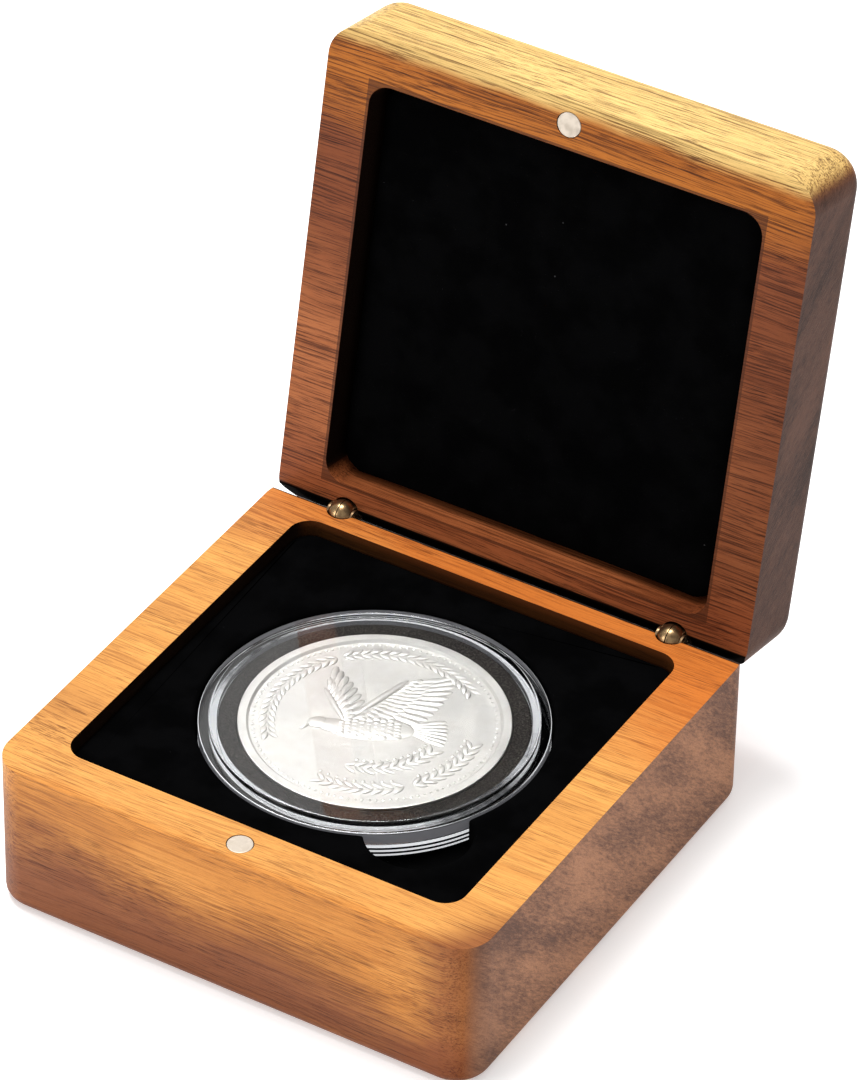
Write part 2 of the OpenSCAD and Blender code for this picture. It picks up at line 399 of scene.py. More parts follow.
class Desk:
    """Lays out shader nodes in a material or a node group."""

    def __init__(self, tree: bpy.types.NodeTree) -> None:
        """Starts on an empty tree.

        Args:
            tree: The node tree to fill.
        """
        self.tree = tree
        self.count = 0

    def add(self, kind: str, inputs: dict[str | int, object] | None = None,
            **settings: object) -> bpy.types.Node:
        """Adds a node.

        Args:
            kind: Blender's type name of the node.
            inputs: Values or sockets for its inputs, by name or number.
            **settings: Attributes of the node.

        Returns:
            The new node.
        """
        node = self.tree.nodes.new(kind)
        node.location = (self.count % 12 * 190, -(self.count // 12) * 320)
        self.count += 1
        for name, value in settings.items():
            setattr(node, name, value)
        for key, value in (inputs or {}).items():
            if isinstance(value, Socket):
                self.tree.links.new(value, node.inputs[key])
            else:
                node.inputs[key].default_value = value
        return node

    def maths(self, operation: str, a: object, b: object = 0.0) -> Socket:
        """Result of a Math node on two values or sockets."""
        return self.add("ShaderNodeMath", {0: a, 1: b}, operation=operation).outputs[0]

    def times(self, a: object, b: object) -> Socket:
        """Product of two values or sockets."""
        return self.maths("MULTIPLY", a, b)

    def plus(self, a: object, b: object) -> Socket:
        """Sum of two values or sockets."""
        return self.maths("ADD", a, b)

    def rest_of(self, value: object) -> Socket:
        """One minus a value or socket."""
        return self.maths("SUBTRACT", 1.0, value)

    def dot(self, vector: Socket, direction: Sequence[float]) -> Socket:
        """Dot product of a vector and a direction."""
        return self.add("ShaderNodeVectorMath", {0: vector, 1: tuple(direction)},
                        operation="DOT_PRODUCT").outputs["Value"]

    def tint(self, factor: object, colour: object, shade: Colour, depth: float = 0.8) -> Socket:
        """A colour multiplied by a shade as far as a factor says."""
        return self.mix(factor, colour, self.mix(depth, colour, shade, "MULTIPLY"))

    def send(self, values: dict[str, Socket], node: bpy.types.Node) -> None:
        """Links values to a node's inputs by name."""
        for name, value in values.items():
            self.tree.links.new(value, node.inputs[name])

    def group(self, tree: bpy.types.NodeTree, place: Socket, **values: float) -> bpy.types.NodeOutputs:
        """Adds a group at a place in millimetres.

        Args:
            tree: The node group.
            place: Socket for its Vector input.
            **values: Values of its other inputs.

        Returns:
            The group's outputs.
        """
        node = self.add("ShaderNodeGroup", node_tree=tree)
        self.tree.links.new(place, node.inputs["Vector"])
        for name, value in values.items():
            node.inputs[name].default_value = value
        return node.outputs

    def remap(self, value: Socket, low: float, high: float, to_low: float = 0.0,
              to_high: float = 1.0) -> Socket:
        """Smooth step of a value from one range to another."""
        return self.add("ShaderNodeMapRange", {"Value": value, "From Min": low, "From Max": high,
                                               "To Min": to_low, "To Max": to_high},
                        interpolation_type="SMOOTHSTEP").outputs["Result"]

    def mix(self, factor: object, a: object, b: object, blend: str = "MIX") -> Socket:
        """Mix of two colours by a factor."""
        node = self.add("ShaderNodeMix", data_type="RGBA", blend_type=blend, clamp_factor=True)
        for place, value in ((0, factor), (6, a), (7, b)):
            if isinstance(value, Socket):
                self.tree.links.new(value, node.inputs[place])
            else:
                node.inputs[place].default_value = (*value, 1) if place else value
        return node.outputs[2]

    def stretch(self, vector: Socket, scale: Sequence[float]) -> Socket:
        """A vector scaled along each axis."""
        return self.add("ShaderNodeVectorMath", {0: vector, 1: tuple(scale)},
                        operation="MULTIPLY").outputs[0]

    def noise(self, vector: Socket, scale: object, detail: float = 3.0, rough: float = 0.5) -> Socket:
        """Value of a noise at a scale per unit of the vector."""
        return self.add("ShaderNodeTexNoise", {"Vector": vector, "Scale": scale, "Detail": detail,
                                               "Roughness": rough}).outputs["Fac"]


def new_group(name: str, inputs: dict[str, float],
              outputs: Sequence[str]) -> tuple[Desk, bpy.types.Node, bpy.types.Node]:
    """A node group with a Vector input, further number inputs and number outputs.

    Args:
        name: The group's name.
        inputs: Default of each further input, by name.
        outputs: Names of the outputs.

    Returns:
        A desk for the group, its input node and its output node.
    """
    tree = bpy.data.node_groups.new(name, "ShaderNodeTree")
    tree.interface.new_socket("Vector", in_out="INPUT", socket_type="NodeSocketVector")
    for label, value in inputs.items():
        socket = tree.interface.new_socket(label, in_out="INPUT", socket_type="NodeSocketFloat")
        socket.default_value = value
    for label in outputs:
        tree.interface.new_socket(label, in_out="OUTPUT", socket_type="NodeSocketFloat")
    desk = Desk(tree)
    return desk, desk.add("NodeGroupInput"), desk.add("NodeGroupOutput")


def grain_group() -> bpy.types.NodeTree:
    """Wood grain along X: masks for pores, fibres, bands and cloudy figure.

    Returns:
        The node group. Its Vector input is in millimetres.
    """
    masks = ("Pores", "Fibres", "Lines", "Bands", "Cloud", "End", "Dots")
    if "wood_grain" in bpy.data.node_groups:
        return bpy.data.node_groups["wood_grain"]
    desk, given, out = new_group("wood_grain", {"Waviness": 5.0}, masks)
    place = given.outputs["Vector"]
    # Slow waves push the grain sideways.
    slow = desk.stretch(place, (0.3, 1, 1))
    warp = desk.add("ShaderNodeTexNoise", {"Vector": slow, "Scale": 0.04, "Detail": 2.0})
    pushed = desk.add("ShaderNodeVectorMath", {0: warp.outputs["Color"], 1: (0.5, 0.5, 0.5)},
                      operation="SUBTRACT").outputs[0]
    side = desk.add("ShaderNodeCombineXYZ", {1: given.outputs["Waviness"], 2: given.outputs["Waviness"]})
    shift = desk.add("ShaderNodeVectorMath", {0: pushed, 1: side.outputs[0]}, operation="MULTIPLY")
    wavy = desk.add("ShaderNodeVectorMath", {0: place, 1: shift.outputs[0]}, operation="ADD").outputs[0]
    # Streaks of several sizes run along X.
    pores = desk.noise(desk.stretch(wavy, (0.2, 7.6, 7.6)), 1.0, 1.0, 0.5)
    crowd = desk.noise(desk.stretch(wavy, (0.03, 0.28, 0.28)), 1.0, 2.0)
    pores = desk.plus(pores, desk.times(crowd, 0.4))
    fibres = desk.noise(desk.stretch(wavy, (1.6, 9.0, 9.0)), 1.0, 2.0, 0.7)
    lines = desk.noise(desk.stretch(wavy, (0.035, 3.3, 3.3)), 1.0, 5.0, 0.7)
    bands = desk.noise(desk.stretch(wavy, (0.014, 0.26, 0.26)), 1.0, 3.0, 0.5)
    cloud = desk.noise(desk.stretch(place, (0.04, 0.07, 0.07)), 1.0, 3.0, 0.5)
    # The end grain slants across its face.
    slant = desk.add("ShaderNodeVectorRotate", {"Vector": place, "Angle": 0.75}, rotation_type="X_AXIS")
    end = desk.noise(desk.stretch(slant.outputs[0], (0.1, 0.035, 0.14)), 1.0, 4.0, 0.55)
    strokes = desk.noise(desk.stretch(slant.outputs[0], (0.5, 0.55, 3.4)), 1.0, 5.0, 0.75)
    end = desk.plus(end, desk.times(desk.maths("SUBTRACT", strokes, 0.5), 1.1))
    dots = desk.noise(place, 4.5, 2.0, 0.7)
    raw = (pores, fibres, lines, bands, cloud, end, dots)
    spans = ((0.76, 0.9), (0.35, 0.65), (0.46, 0.63), (0.36, 0.64), (0.3, 0.7), (0.22, 0.8), (0.5, 0.75))
    desk.send({name: desk.remap(value, *span) for name, value, span in zip(masks, raw, spans)}, out)
    return desk.tree


def speckle_group() -> bpy.types.NodeTree:
    """Fine cells or pile: a height, a cloudy mask and rare specks of dust.

    Returns:
        The node group. Its Vector input is in millimetres.
    """
    if "fine_speckle" in bpy.data.node_groups:
        return bpy.data.node_groups["fine_speckle"]
    desk, given, out = new_group("fine_speckle", {"Scale": 4.0, "Dust": 0.0}, ("Height", "Cloud", "Dust"))
    place = given.outputs["Vector"]
    scale = given.outputs["Scale"]
    fine = desk.noise(place, scale, 3.0, 0.65)
    cells = desk.add("ShaderNodeTexVoronoi", {"Vector": place, "Scale": scale})
    height = desk.plus(fine, desk.times(cells.outputs["Distance"], 0.5))
    cloud = desk.noise(place, 0.16, 3.0)
    specks = desk.add("ShaderNodeTexVoronoi", {"Vector": place, "Scale": 0.33})
    near = desk.remap(specks.outputs["Distance"], 0.05, 0.03)
    chance = desk.add("ShaderNodeSeparateColor", {0: specks.outputs["Color"]}).outputs[0]
    rare = desk.maths("GREATER_THAN", chance, 0.9)
    dust = desk.times(desk.times(near, rare), given.outputs["Dust"])
    desk.send({"Height": height, "Cloud": desk.remap(cloud, 0.35, 0.65), "Dust": dust}, out)
    return desk.tree


def wear_group() -> bpy.types.NodeTree:
    """Handling marks on metal and plastic: fine scratches and smudges.

    Returns:
        The node group. Its Vector input is in millimetres.
    """
    if "handling_wear" in bpy.data.node_groups:
        return bpy.data.node_groups["handling_wear"]
    desk, given, out = new_group("handling_wear", {"Scale": 1.0}, ("Scratches", "Smudge"))
    place = desk.add("ShaderNodeVectorMath", {0: given.outputs["Vector"]}, operation="SCALE")
    desk.tree.links.new(given.outputs["Scale"], place.inputs["Scale"])
    marks = []
    for turn in (0.4, 1.3, 2.5):
        turned_place = desk.add("ShaderNodeVectorRotate", {"Vector": place.outputs[0], "Angle": turn},
                                rotation_type="Z_AXIS").outputs[0]
        line = desk.noise(desk.stretch(turned_place, (0.25, 7, 1)), 1.0, 2.0, 0.6)
        marks.append(desk.remap(line, 0.66, 0.74))
    scratches = desk.maths("MAXIMUM", desk.maths("MAXIMUM", marks[0], marks[1]), marks[2])
    smudge = desk.remap(desk.noise(place.outputs[0], 0.5, 4.0), 0.35, 0.68)
    desk.send({"Scratches": scratches, "Smudge": smudge}, out)
    return desk.tree


@dataclass(frozen=True)
class Finish:
    """A finish that builds its material once and then hands out the same one."""

    name: str

    def material(self) -> bpy.types.Material:
        """The finish's material, built at its first use.

        Returns:
            The material.
        """
        found = bpy.data.materials.get(self.name)
        if found is not None:
            return found
        made = bpy.data.materials.new(self.name)
        made.use_nodes = True
        made.node_tree.nodes.clear()
        desk = Desk(made.node_tree)
        shader = desk.add("ShaderNodeBsdfPrincipled")
        self.lay_out(desk, shader)
        desk.add("ShaderNodeOutputMaterial", {"Surface": shader.outputs[0]})
        return made

    def lay_out(self, desk: Desk, shader: bpy.types.Node) -> None:
        """Fills the material in. Each kind of finish has its own."""
        raise NotImplementedError

    @staticmethod
    def set_constants(shader: bpy.types.Node, values: dict[str, float | tuple[float, ...]]) -> None:
        """Sets values on the shader's own sockets, by name."""
        for name, value in values.items():
            shader.inputs[name].default_value = value

    @staticmethod
    def millimetres(desk: Desk) -> Socket:
        """The place on the piece, in millimetres of the frame."""
        coords = desk.add("ShaderNodeTexCoord").outputs["Object"]
        return desk.stretch(coords, (1 / MM, 1 / MM, 1 / MM))

    @staticmethod
    def raise_bumps(desk: Desk, shader: bpy.types.Node, height: Socket, strength: float,
                    distance: float) -> None:
        """Gives the surface fine relief from a height."""
        bump = desk.add("ShaderNodeBump", {"Height": height, "Strength": strength, "Distance": distance})
        desk.send({"Normal": bump.outputs[0]}, shader)


@dataclass(frozen=True)
class Zone:
    """A part of a block that changes colour, from a start to an end along a direction."""

    colour: Colour
    toward: Colour
    start: float
    end: float
    waver: float = 5.0
    depth: float = 1.0


@dataclass(frozen=True)
class Wood(Finish):
    """Satin lacquered hardwood with its grain along X. Lengths are in millimetres, box shut."""

    ground: Colour = (0.75, 0.355, 0.092)
    zones: tuple[Zone, ...] = ()
    dark: Colour = (0.12, 0.04, 0.018)
    lines: float = 0.4
    line_tone: Colour = (0.42, 0.28, 0.21)
    pores: float = 0.85
    band_tone: Colour = (0.62, 0.5, 0.42)
    fibre_tone: Colour = (0.6, 0.5, 0.4)
    end_pale: Colour = (0.42, 0.205, 0.115)
    end_dark: Colour = (0.12, 0.062, 0.045)
    end_speck: Colour = (0.4, 0.36, 0.36)
    end_facing: Pair = (0.6, 0.97)
    # Painted shade on the walls inside the pocket, darker away from the rim, and on its end walls near
    # black.
    pocket: float = 33.7
    rim_z: float = 26.05
    end_wall_shade: float = 0.98
    end_wall_shade_colour: Colour = (0.006, 0.003, 0.002)
    long_wall_shade: float = 0.0
    wall_shade_top_colour: Colour = (0.06, 0.016, 0.005)
    wall_shade_deep_colour: Colour = (0.004, 0.002, 0.001)
    offset: Colour = (0, 0, 0)
    pivot: Colour = (0, 0, 0)
    turn_back: float = 0.0
    # Painted shade along the bevel of the rear rim, where lid and base meet.
    shaded_seam: Colour = (0, 1, 1)
    shaded_seam_start: float = 62.65
    shaded_seam_y: Pair = (40.2, 39.4)
    seam_shadow_colour: Colour = (0.003, 0.002, 0.0015)

    def lay_out(self, desk: Desk, shader: bpy.types.Node) -> None:
        """Mixes long grain and end grain by the way a face looks."""
        here = self.millimetres(desk)
        if self.turn_back:
            here = desk.add("ShaderNodeVectorRotate", {"Vector": here, "Center": self.pivot,
                                                       "Angle": self.turn_back},
                            rotation_type="X_AXIS").outputs[0]
        place = desk.add("ShaderNodeMapping", {"Vector": here, "Location": self.offset}).outputs[0]
        out = desk.group(grain_group(), place)
        axes = desk.add("ShaderNodeSeparateXYZ", {0: here}).outputs
        facing_way = desk.add("ShaderNodeTexCoord").outputs["Normal"]
        normal = desk.add("ShaderNodeSeparateXYZ", {0: facing_way}).outputs
        facing = desk.maths("ABSOLUTE", normal["X"])
        # Upright is judged as the piece lies at rest, so on the opened lid it is the outer top.
        upright = desk.maths("LESS_THAN", desk.maths("ABSOLUTE", normal["Z"]), 0.5)
        inside = desk.times(*(desk.maths("LESS_THAN", desk.maths("ABSOLUTE", axes[i]), self.pocket)
                              for i in (0, 1)))
        tone, last_mask = self._zoned(desk, here, out)
        long_grain = self._long_grain(desk, tone, out)
        # Painted shade: the pocket's walls are coloured darker away from the rim, and its end walls near
        # black.
        wall_shade_mask = desk.times(desk.times(inside, upright), self.long_wall_shade)
        long_grain = desk.mix(wall_shade_mask, long_grain, self._wall_shadow(desk, axes["Z"]))
        end = self._end_grain(desk, last_mask, out)
        end = desk.mix(desk.times(inside, self.end_wall_shade), end, self.end_wall_shade_colour)
        surface = desk.mix(desk.remap(facing, *self.end_facing), long_grain, end)
        # Painted shade: the rear rim's bevel, where lid and base meet, is coloured near black and loses
        # its gloss.
        shaded_seam = desk.remap(desk.dot(here, self.shaded_seam), self.shaded_seam_start, self.shaded_seam_start + 0.2)
        shaded_seam = desk.times(shaded_seam, desk.remap(axes["Y"], *self.shaded_seam_y))
        shaded_seam = desk.times(shaded_seam, desk.remap(facing, *reversed(self.end_facing)))
        gloss = desk.times(desk.remap(facing, 0.3, 0.9, 0.12, 0.02), desk.rest_of(shaded_seam))
        rough = desk.plus(desk.times(out["Fibres"], 0.1), 0.38)
        desk.send({"Base Color": desk.mix(shaded_seam, surface, self.seam_shadow_colour), "Roughness": rough,
                   "Specular IOR Level": gloss}, shader)
        self.set_constants(shader, {"Coat Weight": 0.02, "Coat Roughness": 0.25})
        sunk = desk.rest_of(desk.plus(desk.times(out["Pores"], 0.7), desk.times(out["Fibres"], 0.3)))
        self.raise_bumps(desk, shader, sunk, 0.35, 0.05 * MM)

    def _zoned(self, desk: Desk, here: Socket, out: bpy.types.NodeOutputs) -> tuple[object, object]:
        """The ground colour changed by the zones, and the mask of the last zone.

        Args:
            desk: The material's desk.
            here: Place in millimetres, box shut.
            out: Outputs of the grain group.

        Returns:
            The colour and the mask.
        """
        tone: object = self.ground
        mask: object = 0.0
        for zone in self.zones:
            drift = desk.plus(desk.dot(here, zone.toward), desk.times(out["Cloud"], zone.waver))
            drift = desk.plus(drift, desk.times(out["Lines"], zone.waver * 0.35))
            mask = desk.remap(drift, zone.start, zone.end, 0, zone.depth)
            tone = desk.mix(mask, tone, zone.colour)
        return tone, mask

    def _long_grain(self, desk: Desk, tone: object, out: bpy.types.NodeOutputs) -> Socket:
        """A colour with bands, lines, fibres and pores laid over it."""
        banded = desk.tint(desk.times(out["Bands"], 0.4), tone, self.band_tone)
        lined = desk.tint(desk.times(out["Lines"], self.lines), banded, self.line_tone)
        fine = desk.tint(desk.times(out["Fibres"], 0.25), lined, self.fibre_tone)
        return desk.tint(desk.times(out["Pores"], self.pores), fine, self.dark, 0.85)

    def _end_grain(self, desk: Desk, mask: object, out: bpy.types.NodeOutputs) -> Socket:
        """The colour of the end grain, darker where a mask says."""
        end = desk.mix(out["End"], self.end_pale, self.end_dark)
        end = desk.mix(desk.times(mask, 0.45), end, self.end_dark)
        return desk.tint(desk.times(out["Dots"], 0.6), end, self.end_speck, 1.0)

    def _wall_shadow(self, desk: Desk, height: Socket) -> Socket:
        """Painted shade on a pocket's wall: a colour that darkens away from the rim."""
        from_rim = desk.maths("ABSOLUTE", desk.maths("SUBTRACT", height, self.rim_z))
        return desk.mix(desk.remap(from_rim, 0.4, 1.7), self.wall_shade_top_colour, self.wall_shade_deep_colour)


@dataclass(frozen=True)
class Velvet(Finish):
    """Deep black short pile."""

    colour: Colour = (0.0011, 0.0011, 0.0012)
    brushed: float = 1.8
    lint: Colour = (0.3, 0.3, 0.31)
    dust: float = 0.12

    def lay_out(self, desk: Desk, shader: bpy.types.Node) -> None:
        """Dark pile with a faint sheen, cloudy brushing and a few specks of lint."""
        pile = desk.group(speckle_group(), self.millimetres(desk), Scale=5.5, Dust=self.dust)
        brushed = desk.mix(pile["Cloud"], self.colour, tuple(c * self.brushed for c in self.colour))
        desk.send({"Base Color": desk.mix(pile["Dust"], brushed, self.lint)}, shader)
        self.set_constants(shader, {"Roughness": 0.95, "Specular IOR Level": 0.0, "Sheen Weight": 0.001,
                                    "Sheen Roughness": 0.4})
        self.raise_bumps(desk, shader, pile["Height"], 0.5, 0.12 * MM)


@dataclass(frozen=True)
class FineFoam(Finish):
    """Fine-celled foam or grey backing card."""

    colour: Colour = (0.07, 0.062, 0.056)
    cell_scale: float = 4.5
    depth: float = 0.6
    pit_shade: float = 0.35
    crest_light: float = 1.7
    lint: Colour = (0.5, 0.48, 0.44)

    def lay_out(self, desk: Desk, shader: bpy.types.Node) -> None:
        """Open cells, with painted shade in the pits and painted light on the crests."""
        cells = desk.group(speckle_group(), self.millimetres(desk), Scale=self.cell_scale, Dust=0.35)
        # Painted shade and light: the cells' colour follows their height.
        pit_shade_mask = desk.remap(cells["Height"], 0.55, 1.05)
        ground = desk.mix(pit_shade_mask, *(tuple(c * k for c in self.colour) for k in (self.pit_shade, self.crest_light)))
        desk.send({"Base Color": desk.mix(cells["Dust"], ground, self.lint)}, shader)
        self.set_constants(shader, {"Roughness": 0.9, "Specular IOR Level": 0.25})
        self.raise_bumps(desk, shader, cells["Height"], self.depth, 0.15 * MM)


@dataclass(frozen=True)
class Acrylic(Finish):
    """Clear polished acrylic."""

    ior: float = 1.49

    def lay_out(self, desk: Desk, shader: bpy.types.Node) -> None:
        """Plain clear plastic with faint scratches."""
        wear = desk.group(wear_group(), self.millimetres(desk), Scale=0.6)
        rough = desk.plus(desk.times(wear["Scratches"], 0.05), 0.015)
        desk.send({"Roughness": rough}, shader)
        self.set_constants(shader, {"Base Color": (0.985, 0.99, 0.99, 1), "Transmission Weight": 1.0,
                                    "IOR": self.ior})


@dataclass(frozen=True)
class PaintedAcrylicEdge(Acrylic):
    """Narrow moulded faces of clear acrylic, with painted highlights, painted shade and a painted glow for
    the light that they gather.
    """

    painted_light: Colour = (0.95, 0.97, 1.0)
    painted_shade: Colour = (0.05, 0.052, 0.058)
    along: Colour = (0.25, 0.97, 0)
    low: float = 0.2
    high: float = 0.95
    clear: float = 0.45
    painted_glow: float = 0.0

    def lay_out(self, desk: Desk, shader: bpy.types.Node) -> None:
        """Painted highlights on two opposite sides of the ring and painted shade between, with a streaky
        change.
        """
        flat = desk.stretch(desk.add("ShaderNodeTexCoord").outputs["Object"], (1, 1, 0))
        out = desk.add("ShaderNodeVectorMath", {0: flat}, operation="NORMALIZE").outputs[0]
        streaks = desk.noise(out, 5.0, 4.0, 0.7)
        lit = desk.plus(desk.maths("ABSOLUTE", desk.dot(out, self.along)),
                        desk.times(desk.maths("SUBTRACT", streaks, 0.5), 1.1))
        colour = desk.mix(desk.remap(lit, self.low, self.high), self.painted_shade, self.painted_light)
        desk.send({"Base Color": colour, "Emission Color": colour}, shader)
        self.set_constants(shader, {"Emission Strength": self.painted_glow, "Roughness": 0.22,
                                    "Transmission Weight": self.clear, "IOR": self.ior})


@dataclass(frozen=True)
class Metal(Finish):
    """Metal with handling marks and darker hollows."""

    colour: Colour = (0.9, 0.89, 0.86)
    dark: Colour = (0.3, 0.28, 0.25)
    hollow_tone: Colour = (0.16, 0.145, 0.12)
    roughness: float = 0.35
    patina: float = 0.3
    scratch_scale: float = 1.0
    bump: float = 0.15
    hollows: float = 0.0

    def lay_out(self, desk: Desk, shader: bpy.types.Node) -> None:
        """Bright metal with smudges, scratches and patina."""
        wear = desk.group(wear_group(), self.millimetres(desk), Scale=self.scratch_scale)
        colour = desk.mix(desk.times(wear["Smudge"], self.patina), self.colour, self.dark)
        if self.hollows:
            hollow = desk.add("ShaderNodeAttribute", attribute_name="hollow").outputs["Fac"]
            colour = desk.mix(desk.remap(hollow, 0.35, 1.0, 0, self.hollows), colour, self.hollow_tone)
        rough = desk.plus(desk.times(wear["Smudge"], 0.12), self.roughness)
        desk.send({"Base Color": colour, "Roughness": rough}, shader)
        self.set_constants(shader, {"Metallic": 1.0})
        self.raise_bumps(desk, shader, desk.rest_of(wear["Scratches"]), self.bump, 0.02 * MM)


# --------------------------------------------------------------------- hinges


@dataclass
class Hinge:
    """The two barrel hinges and the pivot that the lid turns on."""

    span: float = 57.6 * MM
    hole_r: float = 2.42 * MM
    depth: float = 10.2 * MM
    edge: float = 0.07 * MM

    @property
    def pivot(self) -> Vector:
        """A point on the axis of both pivot pins."""
        return Vector(self._joint()["pos_m"])

    @property
    def open_angle(self) -> float:
        """How far the lid turns from shut to its open stop, in radians."""
        return math.radians(self._joint()["range_deg"][1])

    @staticmethod
    def _joint() -> dict:
        """The lid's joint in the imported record."""
        joints = frame["record"]["behaviour"]["joints"]
        return next(j for j in joints if j["name"] == "lid_hinge")

    def open_lid(self, piece: Piece) -> Piece:
        """Turns a piece modelled in the shut position back to the open stop."""
        pivot = self.pivot
        turn = Matrix.Rotation(-self.open_angle, 4, "X")
        piece.data.transform(Matrix.Translation(pivot) @ turn @ Matrix.Translation(-pivot))
        piece.data.update()
        return piece

    def sides(self) -> list[float]:
        """X of the left and of the right hinge."""
        return [-self.span / 2, self.span / 2]

    def build(self) -> None:
        """Dresses every piece of both hinges; all but the pins get softened edges."""
        aged = Metal("aged_brass", colour=(0.4, 0.26, 0.13), dark=(0.07, 0.04, 0.022), roughness=0.27,
                     patina=0.75, scratch_scale=1.6, bump=0.25)
        dark = Metal("dark_brass", colour=(0.3, 0.19, 0.1), dark=(0.04, 0.025, 0.016), roughness=0.34,
                     patina=0.6, scratch_scale=2.0)
        for side in ("left", "right"):
            for part, body, finish, slot in (
                    ("lower_barrel", Body.BASE, dark, "hinge_brass"),
                    ("upper_barrel", Body.LID, dark, "hinge_brass"),
                    ("inner_link", Body.LID, aged, "hinge_brass"),
                    ("outer_link", Body.LID, aged, "hinge_brass"),
                    ("pivot_pin", Body.BASE, dark, "pin_brass"),
                    ("anchor_pin", Body.LID, dark, "pin_brass")):
                node = f"{side}_{part}"
                put_on(self._softened(node), body, finish, [node])

    def _softened(self, node: str) -> Piece:
        """A copy of a CAD node with merged points, and with rounded edges unless it is a pin."""
        source = frame["nodes"][node]
        piece = bpy.data.objects.new(f"{node}_metal", source.data.copy())
        bpy.context.scene.collection.objects.link(piece)
        piece.matrix_world = source.matrix_world.copy()
        take(piece)
        bpy.ops.object.transform_apply(location=True, rotation=True, scale=True)
        with editing(piece):
            bpy.ops.mesh.select_all(action="SELECT")
            bpy.ops.mesh.remove_doubles(threshold=1e-6)
            bpy.ops.mesh.tris_convert_to_quads()
        if "pin" not in node:
            ease_edges(piece, self.edge, 2, 40)
        return smooth(piece, 40, weighted=True)


# ----------------------------------------------------------------- wooden box


@dataclass
class WoodenBox:
    """The base block and the lid block, routed, drilled and eased."""

    hinge: Hinge
    corner_r: float = 5.5 * MM
    foot_round: float = 2 * MM
    crown_round: float = 3.5 * MM
    rim: float = 7.75 * MM
    pocket_r: float = 3.5 * MM
    floor: float = 5 * MM
    roof: float = 4.5 * MM
    lid_h: float = 16 * MM
    bevel: float = 4 * MM
    magnet_r: float = 2 * MM
    magnet_inset: float = 3.85 * MM
    magnet_t: float = 3 * MM
    magnet_play: float = 0.06 * MM
    magnet_edge: float = 0.16 * MM
    upper_hole_spare: float = 0.8 * MM
    edge: float = 0.32 * MM
    low: Vector = field(init=False)
    high: Vector = field(init=False)

    def __post_init__(self) -> None:
        """Takes the base's corners from the frame."""
        self.low, self.high = corners("base_block")

    def build(self) -> None:
        """Makes both blocks and both magnets."""
        self._base()
        self._lid()
        self._magnets()

    def _pocket_tool(self, low_z: float, high_z: float) -> Piece:
        """The router's shape for a pocket."""
        tool = block("pocket_tool", (self.low.x + self.rim, self.low.y + self.rim, low_z),
                     (self.high.x - self.rim, self.high.y - self.rim, high_z))
        round_uprights(tool, self.pocket_r, 10)
        return tool

    def _drill(self, piece: Piece, low_z: float, high_z: float, magnet_low: float,
               magnet_high: float) -> None:
        """Drills both barrel holes and the magnet's hole."""
        for x in self.hinge.sides():
            cut(piece, post("drill", self.hinge.hole_r, low_z, high_z, (x, self.hinge.pivot.y)))
        magnet_hole = self.magnet_r + self.magnet_play
        cut(piece, post("drill", magnet_hole, magnet_low, magnet_high, self._magnet_place()))

    def _magnet_place(self) -> Pair:
        """X and Y of the magnets with the box shut."""
        return 0.0, self.low.y + self.magnet_inset

    def _base(self) -> None:
        """The base block."""
        base = block("base_wood_block", self.low, self.high)
        round_uprights(base, self.corner_r, 12)
        round_where(base, lambda a, b: max(a.z, b.z) < self.low.z + NEAR, self.foot_round, 6)
        slice_off(base, (0, self.high.y - self.bevel, self.high.z), (0, 1, 1))
        cut(base, self._pocket_tool(self.low.z + self.floor, self.high.z + MM))
        pivot_z = self.hinge.pivot.z
        self._drill(base, pivot_z - self.hinge.depth, self.high.z + MM, self.high.z - self.magnet_t,
                    self.high.z + MM)
        ease_edges(base, self.edge)
        smooth(base, weighted=True)
        zones = (Zone((0.62, 0.17, 0.026), (0.25, 1, 0), 12, 40, 8, 0.9),
                 Zone((0.62, 0.24, 0.046), (0, -1, 0), 39.5, 42.5, 2, 0.85),
                 Zone((0.225, 0.074, 0.031), (-0.2, 0, -1), -17, 1, 8, 0.95),
                 Zone((0.24, 0.07, 0.024), (1, -1, 0), 71, 80, 4, 0.85))
        wood = Wood("base_hardwood", zones=zones, long_wall_shade=0.93, lines=0.55, pores=0.62)
        put_on(base, Body.BASE, wood, ["base_block"])

    def _lid(self) -> None:
        """The lid block, made shut and then opened."""
        foot = self.high.z + SHUT_GAP
        top = foot + self.lid_h
        lid = block("lid_wood_block", (self.low.x, self.low.y, foot), (self.high.x, self.high.y, top))
        round_uprights(lid, self.corner_r, 12)
        round_where(lid, lambda a, b: min(a.z, b.z) > top - NEAR, self.crown_round, 8)
        slice_off(lid, (0, self.high.y - self.bevel, foot), (0, 1, -1))
        cut(lid, self._pocket_tool(foot - MM, top - self.roof))
        hole_top = self.hinge.pivot.z + self.hinge.depth + self.upper_hole_spare
        self._drill(lid, foot - MM, hole_top, foot - MM, foot + self.magnet_t)
        ease_edges(lid, self.edge)
        smooth(self.hinge.open_lid(lid), weighted=True)
        zones = (Zone((0.46, 0.145, 0.02), (0, 1, 0), -39.5, -37, 1.5),
                 Zone((0.21, 0.057, 0.021), (0.06, 1, 0), -33, -22, 5, 0.92),
                 Zone((0.48, 0.16, 0.055), (0, 1, 0), -6, 16, 8, 0.85),
                 Zone((0.16, 0.045, 0.016), (1, 0.35, 0), 25, 45, 6, 0.75),
                 Zone((0.25, 0.06, 0.018), (0, 1, 0), 24, 38, 5, 0.6))
        wood = Wood("lid_hardwood", ground=(0.8, 0.54, 0.19), zones=zones, lines=1.0, pores=0.78,
                    line_tone=(0.12, 0.06, 0.04), end_pale=(0.12, 0.055, 0.036),
                    end_dark=(0.03, 0.014, 0.01), offset=(31, 17, 9), pivot=tuple(self.hinge.pivot / MM),
                    turn_back=self.hinge.open_angle, long_wall_shade=0.7, shaded_seam=(0, 1, -1),
                    shaded_seam_start=10.4)
        put_on(lid, Body.LID, wood, ["lid_block"])

